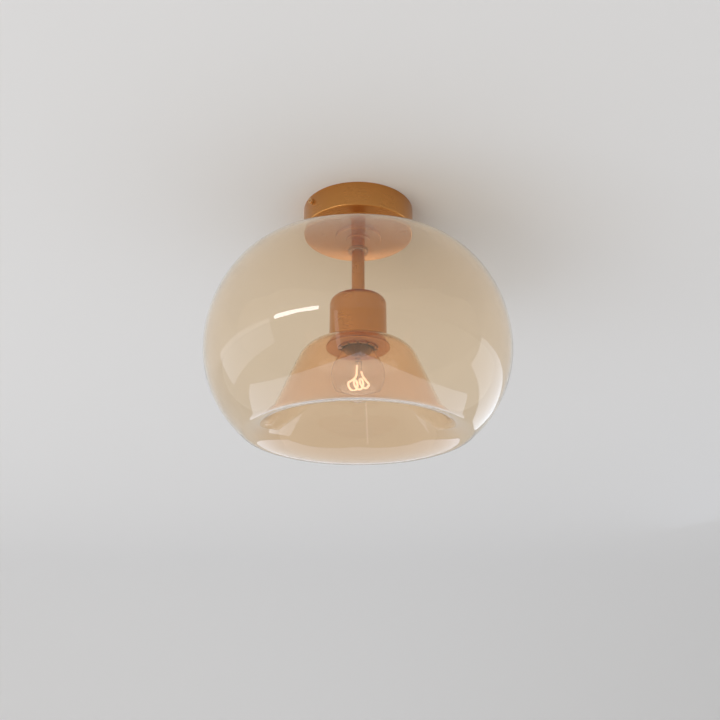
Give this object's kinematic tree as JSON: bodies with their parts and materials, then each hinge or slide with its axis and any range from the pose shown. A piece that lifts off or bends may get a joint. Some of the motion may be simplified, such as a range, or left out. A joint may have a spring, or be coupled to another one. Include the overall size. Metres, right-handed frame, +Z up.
{
  "type": "glass ceiling light",
  "caption": "Ceiling light with a round brass canopy, a short stem, a lampholder cup and a double-walled amber glass whose bowl turns up inside as a bell around a round bulb.",
  "frame": {"origin": "centre of the canopy in the plane of the ceiling that the light is screwed to", "axes": "+Z up into the ceiling, so that the light hangs below its origin; +X to the right and +Y away from the viewer of the picture"},
  "size_m": [0.318, 0.318, 0.2587],
  "materials": {
    "satin_brass": "turned and satin-brushed, clear lacquer",
    "screw_brass": "polished",
    "contact_brass": "bare, bright",
    "zinc_steel": "zinc plated",
    "tinned_metal": "tinned, dull",
    "cap_nickel": "nickel plated, satin",
    "amber_glass": "mouth-blown, tinted in the mass, glossy",
    "bulb_glass": "clear, glossy",
    "insulator_glass": "black, fused, glossy",
    "glowing_filament": "silicone-coated flexible light strip, glowing warm white",
    "clear_silicone": "translucent, matt",
    "terminal_plastic": "moulded, natural white",
    "holder_plastic": "moulded, metallised in brass colour",
    "ceramic": "steatite, unglazed",
    "live_insulation": "silicone insulation, brown",
    "neutral_insulation": "silicone insulation, blue",
    "earth_insulation": "silicone insulation, green and yellow"
  },
  "bodies": {
    "fixture": {"ceiling_bracket": "zinc_steel", "terminal_block": "terminal_plastic", "terminal_sleeves": "contact_brass", "terminal_screws": "zinc_steel", "terminal_fixing_screw": "zinc_steel", "earth_screw": "contact_brass", "earth_tags": "tinned_metal", "earth_wire": "earth_insulation", "canopy": "satin_brass", "canopy_nipple": "zinc_steel", "canopy_nut": "zinc_steel", "tooth_washer": "zinc_steel", "stem_flange": "satin_brass", "flange_nut": "satin_brass", "stem_tube": "satin_brass", "glass_grommet": "clear_silicone", "glass_bowl": "amber_glass", "glass_bell": "amber_glass", "cup_nipple": "zinc_steel", "cup": "satin_brass", "cup_nut": "zinc_steel", "lampholder_cap": "holder_plastic", "lampholder_body": "holder_plastic", "contact_carrier": "ceramic", "thread_shell": "contact_brass", "centre_contact": "contact_brass", "holder_terminals": "contact_brass", "holder_terminal_screws": "zinc_steel", "live_wire": "live_insulation", "neutral_wire": "neutral_insulation", "shade_ring": "satin_brass", "neck_gasket": "clear_silicone"},
    "bulb_base": {"bulb_contact": "tinned_metal", "bulb_insulator": "insulator_glass"},
    "bulb": {"bulb_envelope": "bulb_glass", "bulb_cap": "cap_nickel", "bulb_mount": "bulb_glass", "filament": "glowing_filament", "filament_leads": "tinned_metal"},
    "left_washer": {"canopy_washer_left": "screw_brass"},
    "left_screw": {"canopy_screw_left": "screw_brass"},
    "right_washer": {"canopy_washer_right": "screw_brass"},
    "right_screw": {"canopy_screw_right": "screw_brass"}
  },
  "joints": [
    {"name": "bulb_travel", "type": "slide", "parent": "fixture", "child": "bulb_base", "axis": [0, 0, -1], "range_m": [0, 0.0182]},
    {"name": "bulb_turn", "type": "hinge", "parent": "bulb_base", "child": "bulb", "pos_m": [0, 0, -0.15], "axis": [0, 0, -1], "range_deg": [0, 1800]},
    {"name": "left_screw_travel", "type": "slide", "parent": "fixture", "child": "left_washer", "axis": [-0.8141, -0.5807, 0], "range_m": [0, 0.00495]},
    {"name": "left_screw_turn", "type": "hinge", "parent": "left_washer", "child": "left_screw", "pos_m": [-0.04885, -0.03484, -0.0085], "axis": [-0.8141, -0.5807, 0], "range_deg": [0, 2520]},
    {"name": "right_screw_travel", "type": "slide", "parent": "fixture", "child": "right_washer", "axis": [0.8141, 0.5807, 0], "range_m": [0, 0.00495]},
    {"name": "right_screw_turn", "type": "hinge", "parent": "right_washer", "child": "right_screw", "pos_m": [0.04885, 0.03484, -0.0085], "axis": [0.8141, 0.5807, 0], "range_deg": [0, 2520]}
  ],
  "couplings": [
    {"joint": "bulb_travel", "follows": "bulb_turn", "m_per_rad": 0.00057757},
    {"joint": "left_screw_travel", "follows": "left_screw_turn", "m_per_rad": 0.00011141},
    {"joint": "right_screw_travel", "follows": "right_screw_turn", "m_per_rad": 0.00011141}
  ]
}
